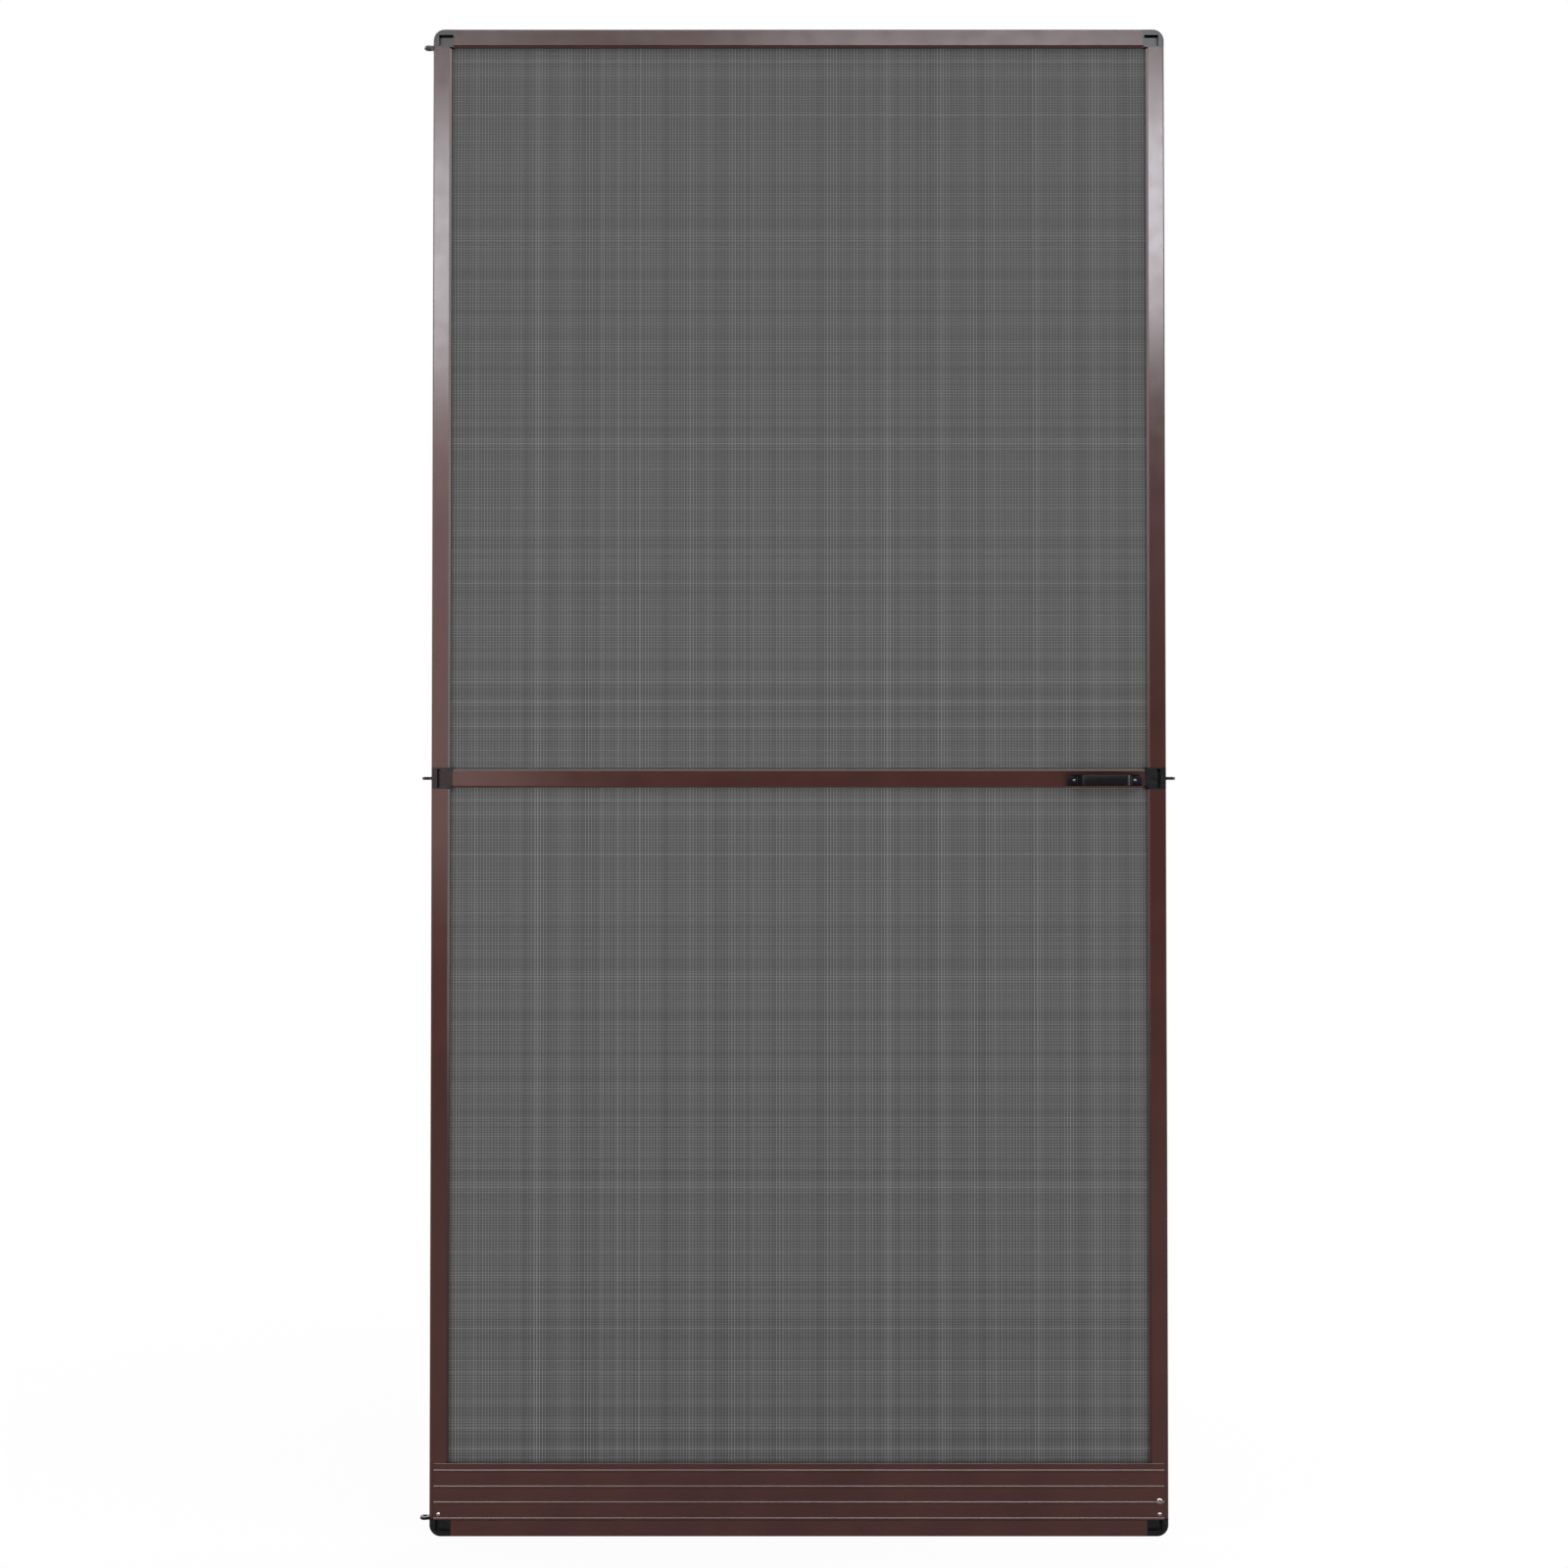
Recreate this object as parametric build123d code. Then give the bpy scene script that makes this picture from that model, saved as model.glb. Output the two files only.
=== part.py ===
from build123d import *
import os

os.makedirs("parts", exist_ok=True)

# Hinged insect screen door leaf: an aluminium frame in seven lengths of extrusion, plugged together
# by moulded corner and tee connectors, with two panels of woven mesh held by rubber splines, a ribbed
# kick plate and a bow pull.
# Millimetres. X runs from the hinge side to the latch side, Y from the front to the back, Z up.
# The origin lies on the hinge axis, on the underside of the lowest hinge eye.

# Leaf
leaf_width = 1170.0
leaf_height = 2400.0
leaf_thickness = 11.0
mid_rail_height = 1200.0  # lower edge of the leaf to the centre line of the middle rail

# Extrusions
wall = 1.2
edge_radius = 2.5  # outer edge at the front
back_bevel = 1.0  # outer edge at the back
chamber_width = 18.0  # stiles, top and bottom rail
mid_chamber_width = 9.8  # middle rail
groove_width = 4.4
lip_width = 3.0
lip_slope = 2.2  # how much deeper the lip lies at its inner edge
pocket_depth = 1.2  # hollow between the face and the floor of the groove
mesh_setback = 2.8  # back of the leaf to the plane on which the mesh lies
nib_reach = 0.35  # the nib that keeps the spline in its groove
nib_height = 0.6

# Mesh and spline
mesh_thickness = 0.4
tuck_gap = 0.8  # tucked edge of the mesh to the floor of the groove
spline_sink = 0.3  # below the plane of the mesh
spline_gap = 0.1

# Moulded connectors
connector_step = 5.0  # how far they reach past the frame's inner edge
corner_radius = 18.0
corner_notch = 3.5
tee_overhang = 2.3  # above and below the middle rail
tee_chamfer = 7.0
plug_length = 40.0
plug_gap = 0.2
plug_lead = 1.6
barb_pitch = 9.0
barb_width = 3.0
barb_depth = 0.6
barb_count = 3
relief_inset = 9.5  # leaf's edge to the slot in the connector's face
relief_width = 5.5
relief_depth = 8.0
relief_land = 2.0  # left standing at the ends of the slot

# Hinge and latch eyes
eye_radius = 7.5
eye_thickness = 4.7
eye_hole = 6.2
eye_bevel = 0.7
eye_shift = 2.5  # how far a corner's eye stands past the corner's end
eye_gap = 0.3  # between that part of the eye and the stile

# Kick plate
kick_height = 89.5
kick_inset = 7.0
kick_thickness = 1.4
kick_round = 0.9
kick_rise = 0.6  # its lower edge above the inner edge of the bottom rail's face
rib_width = 4.7
rib_height = 1.5
rib_pitch = 25.1
rib_count = 4
rib_first = 2.6  # lower edge of the plate to the middle of the lowest rib

# Fasteners of the kick plate
fastener_to_groove = 5.9
rivet_rise = 9.0  # lower edge of the plate to the rivets
rivet_head_radius = 3.0
rivet_head_height = 1.3
screw_rise = 30.0  # lower edge of the plate to the screw
screw_head_radius = 4.5
screw_head_height = 2.2
fastener_shank_radius = 1.9
fastener_length = 6.0

# Bow pull
pull_length = 118.0
pull_width = 17.0
pull_foot = 22.0
pull_foot_thickness = 4.5
pull_projection = 24.0
pull_grip = 6.5
pull_slope = 7.0  # run of each slanting arm
pull_bend = 5.0
pull_bevel = 1.2
pull_drop = 3.6  # below the middle rail's centre line
pull_to_tee = 6.0
pull_screw_spacing = 96.0
pull_screw_head_radius = 2.6
pull_screw_head_height = 1.8
pull_screw_shank_radius = 1.5
pull_screw_length = 9.0
pull_seat_sink = 1.2  # depth of the seat for each screw head

# Clearances of all fasteners
shank_gap = 0.1
head_gap = 0.4
drill_extra = 0.5

# Places worked out from the sizes above
frame_width = 3 * wall + chamber_width + groove_width + lip_width
face_width = frame_width - lip_width
groove_inner = face_width - wall
groove_outer = groove_inner - groove_width
chamber_inner = groove_outer - wall
chamber_middle = (wall + chamber_inner) / 2

mid_chamber_half = mid_chamber_width / 2
mid_groove_outer = mid_chamber_half + wall
mid_groove_inner = mid_groove_outer + groove_width
mid_face_half = mid_groove_inner + wall
mid_rail_half = mid_face_half + lip_width

lip_recess = wall + pocket_depth
groove_floor = lip_recess + wall
mesh_depth = leaf_thickness - mesh_setback
spline_height = mesh_depth - spline_sink - groove_floor
spline_width = groove_width - mesh_thickness - 2 * spline_gap

front = -leaf_thickness / 2
back = leaf_thickness / 2
left = eye_radius
right = left + leaf_width
bottom = eye_thickness - eye_shift - frame_width
top = bottom + leaf_height
mid = bottom + mid_rail_height

connector_reach = frame_width + connector_step
tee_half = mid_rail_half + tee_overhang

kick_front = front - kick_thickness
kick_bottom = bottom + face_width + kick_rise
fastener_inset = groove_outer - fastener_to_groove

pull_face = front - pull_foot_thickness
pull_seat = pull_face + pull_seat_sink
pull_middle = right - connector_reach - pull_to_tee - pull_length / 2
pull_height = mid - pull_drop

across_leaf = Plane(origin=((left + right) / 2, 0, 0), z_dir=(1, 0, 0))
across_height = Plane(origin=(0, 0, (bottom + top) / 2), z_dir=(0, 0, 1))


def rect(x0, x1, y0, y1):
    """A rectangle between two corners, given in either order."""
    return Pos((x0 + x1) / 2, (y0 + y1) / 2) * Rectangle(abs(x1 - x0), abs(y1 - y0))


def depth(distance):
    """Y of the plane this far behind the front face."""
    return front + distance


def plan_prism(plan, y0, y1):
    """A sketch whose axes are the leaf's X and Z, made solid from y0 back to y1."""
    return Pos(0, y1, 0) * extrude(Plane.XZ * plan, y1 - y0)


def save(node, shape):
    """Writes one node as one STEP file."""
    shape.label = node
    export_step(shape, "parts/" + node + ".step")


# Extrusions

def lip(side, outer, inner):
    """The recessed lip of a section: it slopes back from its outer to its inner edge."""
    return make_face(Polyline(
        (side * outer, depth(lip_recess)), (side * inner, depth(lip_recess + lip_slope)),
        (side * inner, depth(groove_floor + lip_slope)), (side * outer, depth(groove_floor)),
        close=True,
    ))


def edge_section():
    """Stile and outer rail: a closed chamber, a spline groove open to the back and a recessed lip."""
    outer = rect(0, groove_outer, front, back)
    outer = chamfer(outer.vertices().sort_by_distance((0, back, 0))[0], back_bevel)
    section = fillet(outer.vertices().sort_by_distance((0, front, 0))[0], edge_radius)
    section += rect(groove_outer, face_width, front, depth(groove_floor))
    section += rect(groove_inner, face_width, front, depth(mesh_depth))
    section += lip(1, face_width, frame_width)
    nib = depth(mesh_depth + nib_height)
    section += rect(groove_outer, groove_outer + nib_reach, depth(mesh_depth), nib)
    section -= rect(wall, chamber_inner, depth(wall), back - wall)
    section -= rect(wall, groove_inner, depth(wall), depth(lip_recess))
    return section


def mid_section():
    """Middle rail: a slim chamber between two grooves, with a lip above and below."""
    section = rect(-mid_groove_outer, mid_groove_outer, front, back)
    section += rect(-mid_face_half, mid_face_half, front, depth(groove_floor))
    nib = depth(mesh_depth + nib_height)
    nib_tip = mid_groove_outer + nib_reach
    for side in (-1, 1):
        section += rect(side * mid_groove_inner, side * mid_face_half, front, depth(mesh_depth))
        section += lip(side, mid_face_half, mid_rail_half)
        section += rect(side * mid_groove_outer, side * nib_tip, depth(mesh_depth), nib)
    section -= rect(-mid_chamber_half, mid_chamber_half, depth(wall), back - wall)
    section -= rect(-mid_groove_inner, mid_groove_inner, depth(wall), depth(lip_recess))
    return section


def stile(z0, z1):
    """A length of the edge extrusion, upright on the hinge side."""
    return Pos(left, 0, z0) * extrude(edge_section(), z1 - z0)


def across(section, z):
    """A length of extrusion from connector to connector, with the section's own middle line at z."""
    x0 = left + connector_reach
    x1 = right - connector_reach
    return Pos(x1, 0, z) * Rot(0, -90, 0) * extrude(section, x1 - x0)


# Fasteners and the holes that they pass through

def bore(x, z, seat, length, radius):
    """The round space of a hole or a shank that starts at Y = seat and runs towards the back."""
    return Pos(x, seat + length / 2, z) * Rot(90, 0, 0) * Cylinder(radius, length)


def fastener(x, z, seat, head_radius, head_height, shank_radius, length):
    """A flat head on a plain shank: the head's underside is at Y = seat and the shank points back."""
    head = Pos(x, seat - head_height / 2, z) * Rot(90, 0, 0) * Cylinder(head_radius, head_height)
    return head + bore(x, z, seat, length, shank_radius)


kick_fasteners = {
    "kick_rivet_hinge": (left + fastener_inset, rivet_rise, rivet_head_radius, rivet_head_height),
    "kick_rivet_latch": (right - fastener_inset, rivet_rise, rivet_head_radius, rivet_head_height),
    "kick_screw_latch": (right - fastener_inset, screw_rise, screw_head_radius, screw_head_height),
}
pull_screws = {
    "pull_screw_inner": pull_middle - pull_screw_spacing / 2,
    "pull_screw_outer": pull_middle + pull_screw_spacing / 2,
}


def drilled(shape):
    """The shape with the holes of every fastener that crosses it."""
    length = fastener_length + drill_extra
    for x, rise, _, _ in kick_fasteners.values():
        shape -= bore(x, kick_bottom + rise, kick_front, length, fastener_shank_radius + shank_gap)
    length = pull_screw_length + drill_extra
    for x in pull_screws.values():
        shape -= bore(x, pull_height, pull_seat, length, pull_screw_shank_radius + shank_gap)
    return shape


# Connectors

def eye(z):
    """A flat tongue with a rounded end and square neck, on the connector's outer side."""
    plan = Circle(eye_radius) + rect(0, eye_radius + edge_radius, front, back)
    tongue = extrude(plan, eye_thickness)
    tongue = chamfer(tongue.edges().filter_by(GeomType.CIRCLE), eye_bevel)
    return Pos(0, 0, z) * tongue


def plug(half_width, half_depth):
    """A leg that stands up from z = 0 into a hollow length, with a lead-in and shallow barbs."""
    leg = Pos(0, 0, plug_length / 2) * Box(2 * half_width, 2 * half_depth, plug_length)
    leg = chamfer(leg.faces().sort_by(Axis.Z)[-1].edges(), plug_lead)
    gap = Box(2 * half_width, 2 * half_depth, barb_width)
    gap -= Box(2 * (half_width - barb_depth), 2 * half_depth, barb_width)
    for index in range(barb_count):
        leg -= Pos(0, 0, barb_pitch * (index + 1)) * gap
    return leg


plug_half_depth = leaf_thickness / 2 - wall - plug_gap
wide_plug = plug(chamber_width / 2 - plug_gap, plug_half_depth)
slim_plug = plug(mid_chamber_half - plug_gap, plug_half_depth)


def outer_rim(face):
    """The edges of a corner's front or back face that lie on the outside of the leaf."""
    rim = face.edges().filter_by_position(Axis.X, 0, connector_reach - edge_radius)
    return rim.filter_by_position(Axis.Z, 0, frame_width - edge_radius)


def corner(with_eye):
    """The lower corner on the hinge side; the other three are its mirror images."""
    plan = rect(0, connector_reach, 0, frame_width)
    plan = fillet(plan.vertices().sort_by_distance((0, 0, 0))[0], corner_radius)
    body = plan_prism(plan, front, back)
    body = fillet(outer_rim(body.faces().sort_by(Axis.Y)[0]), edge_radius)
    body = chamfer(outer_rim(body.faces().sort_by(Axis.Y)[-1]), back_bevel)

    notch = make_face(Polyline(
        (connector_reach, frame_width),
        (connector_reach - corner_notch, frame_width),
        (connector_reach, frame_width - corner_notch),
        close=True,
    ))
    body -= plan_prism(notch, front, depth(lip_recess))

    relief_end = relief_inset + relief_width
    relief = rect(relief_inset, connector_reach - relief_land, relief_inset, relief_end)
    relief += rect(relief_inset, relief_end, relief_inset, frame_width - relief_land)
    body -= plan_prism(relief, front, depth(relief_depth))

    groove = rect(groove_outer, connector_reach, groove_outer, groove_inner)
    groove += rect(groove_outer, groove_inner, groove_outer, frame_width)
    body -= plan_prism(groove, depth(groove_floor), back)
    under_mesh = rect(groove_inner, connector_reach, groove_inner, frame_width)
    body -= plan_prism(under_mesh, depth(mesh_depth), back)

    body += Pos(chamber_middle, 0, frame_width) * wide_plug
    body += Pos(connector_reach, 0, chamber_middle) * Rot(0, 90, 0) * wide_plug
    body = Pos(left, 0, bottom) * body
    if with_eye:
        stile_room = extrude(rect(left - eye_gap, left + edge_radius, front, back), eye_shift)
        body += eye(0) - Pos(0, 0, eye_thickness - eye_shift) * stile_room
        body -= Cylinder(eye_hole / 2, 3 * eye_thickness)
    return body


def tee():
    """The connector on the hinge side at the middle rail, with its eye."""
    body = plan_prism(rect(0, connector_reach, -tee_half, tee_half), front, back)
    outer = body.edges().filter_by(Axis.Z).group_by(Axis.X)[0].sort_by(Axis.Y)
    body = chamfer(outer[-1], back_bevel)
    outer = body.edges().filter_by(Axis.Z).group_by(Axis.X)[0].sort_by(Axis.Y)
    body = fillet(outer[0], edge_radius)
    for side in (-1, 1):
        end = side * tee_half
        slope = make_face(Polyline(
            (connector_reach, end),
            (connector_reach - tee_chamfer, end),
            (connector_reach, end - side * tee_chamfer),
            close=True,
        ))
        body -= plan_prism(slope, front, depth(lip_recess))
        near = side * mid_groove_outer
        far = side * mid_groove_inner
        groove = rect(groove_outer, connector_reach, near, far)
        groove += rect(groove_outer, groove_inner, near, end)
        body -= plan_prism(groove, depth(groove_floor), back)
        under_mesh = rect(groove_inner, connector_reach, far, end)
        body -= plan_prism(under_mesh, depth(mesh_depth), back)
    relief_half = tee_half - relief_land
    relief = rect(relief_inset, relief_inset + relief_width, -relief_half, relief_half)
    body -= plan_prism(relief, front, depth(relief_depth))

    body += Pos(chamber_middle, 0, tee_half) * wide_plug
    body += Pos(chamber_middle, 0, -tee_half) * Rot(180, 0, 0) * wide_plug
    body += Pos(connector_reach, 0, 0) * Rot(0, 90, 0) * slim_plug
    body = Pos(left, 0, mid) * body + eye(mid - eye_thickness / 2)
    return body - Pos(0, 0, mid) * Cylinder(eye_hole / 2, 3 * eye_thickness)


# Mesh panels and their splines

def grown(z0, z1, margin):
    """The rectangle of a panel's opening between its grooves, made larger by a margin."""
    x0 = left + groove_inner - margin
    x1 = right - groove_inner + margin
    return rect(x0, x1, z0 - margin, z1 + margin)


def mesh_panel(z0, z1):
    """A sheet laid over the ribs round the opening, its edges tucked down into the groove."""
    tuck = depth(groove_floor + tuck_gap)
    sheet = plan_prism(grown(z0, z1, mesh_thickness), tuck, depth(mesh_depth + mesh_thickness))
    return sheet - plan_prism(grown(z0, z1, 0), tuck, depth(mesh_depth))


def spline(z0, z1):
    """One length of rubber pressed round the whole groove of a panel."""
    inner = mesh_thickness + spline_gap
    outline = grown(z0, z1, inner + spline_width)
    outline = chamfer(outline.vertices(), spline_width)
    ring = outline - grown(z0, z1, inner)
    return plan_prism(ring, depth(groove_floor), depth(groove_floor + spline_height))


# Kick plate

def kick_plate():
    """An extruded plate with solid ribs, lying on the faces of the stiles."""
    plate = rect(-kick_thickness, 0, 0, kick_height)
    plate = fillet(plate.vertices().group_by(Axis.X)[0], kick_round)
    bead_radius = ((rib_width / 2) ** 2 + rib_height**2) / (2 * rib_height)
    strip = rect(-kick_thickness - rib_height, -kick_thickness / 2, 0, kick_height)
    for index in range(rib_count):
        middle = rib_first + index * rib_pitch
        bead = Pos(bead_radius - rib_height - kick_thickness, middle) * Circle(bead_radius)
        plate += bead & strip
    length = leaf_width - 2 * kick_inset
    body = Pos(left + kick_inset, front, kick_bottom) * extrude(Plane.YZ * plate, length)
    reach = rib_height + drill_extra
    for x, rise, head_radius, _ in kick_fasteners.values():
        spot = bore(x, kick_bottom + rise, kick_front - reach, reach, head_radius + head_gap)
        body -= spot
    return body


# Bow pull

def pull():
    """Two screwed feet and a grip that stands off the rail on slanting arms."""
    half = pull_length / 2
    inner = half - pull_foot
    under_grip = pull_projection - pull_grip
    feet = rect(-half, half, 0, pull_foot_thickness)
    hump = make_face(Polyline(
        (-inner - pull_slope, 0), (-inner, pull_projection),
        (inner, pull_projection), (inner + pull_slope, 0),
        close=True,
    ))
    hump = fillet(hump.vertices().group_by(Axis.Y)[-1], pull_bend + pull_grip / 2)
    void = make_face(Polyline(
        (-inner, 0), (-inner + pull_slope, under_grip),
        (inner - pull_slope, under_grip), (inner, 0),
        close=True,
    ))
    void = fillet(void.vertices().group_by(Axis.Y)[-1], pull_bend)
    profile = feet + hump - void
    bow = extrude(profile, pull_width / 2, both=True)
    bow = Pos(pull_middle, front, pull_height) * Rot(180, 0, 0) * bow
    rims = bow.faces().sort_by(Axis.Z)
    rims = (rims[0].edges() + rims[-1].edges()).filter_by(
        lambda edge: edge.center().Y < front - pull_bevel
    )
    bow = chamfer(rims, pull_bevel)
    for x in pull_screws.values():
        seat = pull_screw_head_radius + head_gap
        bow -= bore(x, pull_height, pull_face - pull_seat_sink, 2 * pull_seat_sink, seat)
    return bow


# Nodes

lower_panel = (bottom + groove_inner, mid - mid_groove_inner)
upper_panel = (mid + mid_groove_inner, top - groove_inner)
lower_stile = stile(bottom + frame_width, mid - tee_half)
upper_stile = stile(mid + tee_half, top - frame_width)
bottom_rail = across(edge_section(), bottom)
hinge_corner = corner(True)
latch_corner = mirror(corner(False), about=across_leaf)
hinge_tee = tee()

nodes = {
    "bottom_rail": bottom_rail,
    "top_rail": mirror(bottom_rail, about=across_height),
    "mid_rail": drilled(across(mid_section(), mid)),
    "stile_hinge_lower": drilled(lower_stile),
    "stile_hinge_upper": upper_stile,
    "stile_latch_lower": drilled(mirror(lower_stile, about=across_leaf)),
    "stile_latch_upper": mirror(upper_stile, about=across_leaf),
    "corner_bottom_hinge": drilled(hinge_corner),
    "corner_top_hinge": mirror(hinge_corner, about=across_height),
    "corner_bottom_latch": drilled(latch_corner),
    "corner_top_latch": mirror(latch_corner, about=across_height),
    "tee_hinge": hinge_tee,
    "tee_latch": drilled(mirror(hinge_tee, about=across_leaf)),
    "mesh_lower": mesh_panel(*lower_panel),
    "mesh_upper": mesh_panel(*upper_panel),
    "spline_lower": spline(*lower_panel),
    "spline_upper": spline(*upper_panel),
    "kick_plate": drilled(kick_plate()),
    "pull_handle": drilled(pull()),
}
for name, (x, rise, head_radius, head_height) in kick_fasteners.items():
    nodes[name] = fastener(
        x, kick_bottom + rise, kick_front, head_radius, head_height,
        fastener_shank_radius, fastener_length,
    )
for name, x in pull_screws.items():
    nodes[name] = fastener(
        x, pull_height, pull_seat, pull_screw_head_radius, pull_screw_head_height,
        pull_screw_shank_radius, pull_screw_length,
    )

for name, shape in nodes.items():
    save(name, shape)
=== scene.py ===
"""Dresses the leaf of a hinged insect screen door: its coats, plastics, mesh, splines and screws.

The file is laid out as an add-on and is run as a script. Lengths are in metres, as in the frame.
X runs from the hinge side to the latch side, Y from the front to the back, Z up.
"""

import math

import bmesh
import bpy
from bpy.props import FloatProperty, FloatVectorProperty, IntProperty, PointerProperty
from mathutils import Matrix, Vector


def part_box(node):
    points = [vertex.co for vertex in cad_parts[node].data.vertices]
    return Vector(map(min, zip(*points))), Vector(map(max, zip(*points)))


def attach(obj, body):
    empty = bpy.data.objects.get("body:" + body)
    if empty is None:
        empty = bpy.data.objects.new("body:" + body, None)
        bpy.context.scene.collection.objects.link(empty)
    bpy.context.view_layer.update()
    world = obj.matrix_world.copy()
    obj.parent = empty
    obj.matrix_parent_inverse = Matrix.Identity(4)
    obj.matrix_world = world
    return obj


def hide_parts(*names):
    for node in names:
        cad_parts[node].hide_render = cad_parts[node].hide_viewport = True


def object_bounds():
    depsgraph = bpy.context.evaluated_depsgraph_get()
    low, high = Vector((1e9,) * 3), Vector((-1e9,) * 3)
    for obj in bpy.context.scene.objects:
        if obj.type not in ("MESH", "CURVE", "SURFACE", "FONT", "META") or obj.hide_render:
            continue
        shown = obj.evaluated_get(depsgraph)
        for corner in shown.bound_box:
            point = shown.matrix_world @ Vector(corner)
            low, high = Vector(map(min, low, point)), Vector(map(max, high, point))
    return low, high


bl_info = {
    "name": "Insect Screen Door",
    "version": (1, 0, 0),
    "blender": (4, 5, 0),
    "location": "View3D > Sidebar > Screen Door",
    "description": "Dresses the leaf of a hinged insect screen door and sets up a studio round it",
    "category": "Object",
}

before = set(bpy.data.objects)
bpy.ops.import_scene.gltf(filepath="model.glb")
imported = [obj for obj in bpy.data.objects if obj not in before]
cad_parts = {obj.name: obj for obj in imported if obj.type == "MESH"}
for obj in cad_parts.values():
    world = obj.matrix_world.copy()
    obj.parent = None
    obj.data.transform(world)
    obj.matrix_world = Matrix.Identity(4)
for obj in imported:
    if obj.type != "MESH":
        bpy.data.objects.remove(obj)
cad_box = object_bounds()

MM = 0.001
SMOOTH_BELOW = math.radians(35)  # edges that bend less than this are shaded smooth
LUMPS = {"From Min": 0.3, "From Max": 0.7}  # the range that most of a noise's values lie in
PLAIN_ROW = {"Repeat": 1, "Stretch": 1.0, "Contrast": 0.0, "Seed": 3}  # copies of one shade
COLOUR_A, COLOUR_B, COLOUR_RESULT = 6, 7, 2  # the colour sockets of a Mix node
FLOAT_A, FLOAT_B = 2, 3  # its float sockets
CHANCE_MAX, CHANCE = 3, 1  # the float sockets of a Random Value node

EXTRUSIONS = (
    "bottom_rail", "top_rail", "mid_rail", "stile_hinge_lower", "stile_hinge_upper",
    "stile_latch_lower", "stile_latch_upper",
)
CONNECTORS = (
    "corner_bottom_hinge", "corner_top_hinge", "corner_bottom_latch", "corner_top_latch",
    "tee_hinge", "tee_latch",
)
KICK_RIVETS = ("kick_rivet_hinge", "kick_rivet_latch")
PULL_SCREWS = ("pull_screw_inner", "pull_screw_outer")


def linear(colour):
    """The linear red, green and blue of an sRGB hex value."""
    channels = [(colour >> shift & 255) / 255 for shift in (16, 8, 0)]
    return tuple(c / 12.92 if c <= 0.04045 else ((c + 0.055) / 1.055) ** 2.4 for c in channels)


def add(tree, kind, inputs=(), **settings):
    """Adds a node to a tree. An input that is a socket is linked, and any other is set."""
    node = tree.nodes.new(kind)
    for name, value in settings.items():
        setattr(node, name, value)
    for key, value in dict(inputs).items():
        if isinstance(value, bpy.types.NodeSocket):
            tree.links.new(value, node.inputs[key])
        else:
            node.inputs[key].default_value = value
    return node


# Settings

class FrameFinish(bpy.types.PropertyGroup):
    """The coat of the extrusions, the plastics of the mouldings and the fasteners' metals."""

    coat: FloatVectorProperty(
        name="Coat", description="Colour of the powder coat", subtype="COLOR", size=3,
        default=linear(0x3F2420),
    )
    coat_shade: FloatVectorProperty(
        name="Coat Shade", description="The coat where it lies thinner", subtype="COLOR", size=3,
        default=linear(0x39201D),
    )
    coat_roughness: FloatProperty(
        name="Coat Roughness", description="Roughness of the satin coat", subtype="FACTOR",
        min=0, max=1, default=0.19,
    )
    plastic: FloatVectorProperty(
        name="Plastic", description="Colour of the moulded connectors", subtype="COLOR", size=3,
        default=linear(0x0B0B0D),
    )
    plastic_roughness: FloatProperty(
        name="Plastic Roughness", description="Roughness of the connectors", subtype="FACTOR",
        min=0, max=1, default=0.3,
    )
    pull: FloatVectorProperty(
        name="Pull", description="Colour of the bow pull", subtype="COLOR", size=3,
        default=linear(0x08080B),
    )
    aluminium: FloatVectorProperty(
        name="Rivets", description="Colour of the rivet heads", subtype="COLOR", size=3,
        default=linear(0xC8C0BF),
    )
    zinc: FloatVectorProperty(
        name="Plate Screw", description="Colour of the kick plate's screw", subtype="COLOR",
        size=3, default=linear(0xD0C4C2),
    )
    nickel: FloatVectorProperty(
        name="Pull Screws", description="Colour of the pull's screws", subtype="COLOR", size=3,
        default=linear(0x75777E),
    )


class PlateSizes(bpy.types.PropertyGroup):
    """The ribbed kick plate."""

    thickness: FloatProperty(
        name="Thickness", description="Thickness between the ribs", unit="LENGTH",
        default=1.4 * MM,
    )
    edge: FloatProperty(
        name="Edge", description="Radius of the front edges", unit="LENGTH", default=0.9 * MM,
    )
    rib_width: FloatProperty(
        name="Rib Width", description="Width of a rib at its foot", unit="LENGTH",
        default=4.7 * MM,
    )
    rib_pitch: FloatProperty(
        name="Rib Pitch", description="Between two ribs", unit="LENGTH", default=25.1 * MM,
    )
    rib_first: FloatProperty(
        name="First Rib", description="Lower edge of the plate to the lowest rib", unit="LENGTH",
        default=2.6 * MM,
    )
    rib_count: IntProperty(name="Ribs", description="Number of ribs", default=4, min=1)
    clearance: FloatProperty(
        name="Clearance", description="Gap round the screw's head where it cuts a rib",
        unit="LENGTH", default=0.4 * MM,
    )


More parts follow.
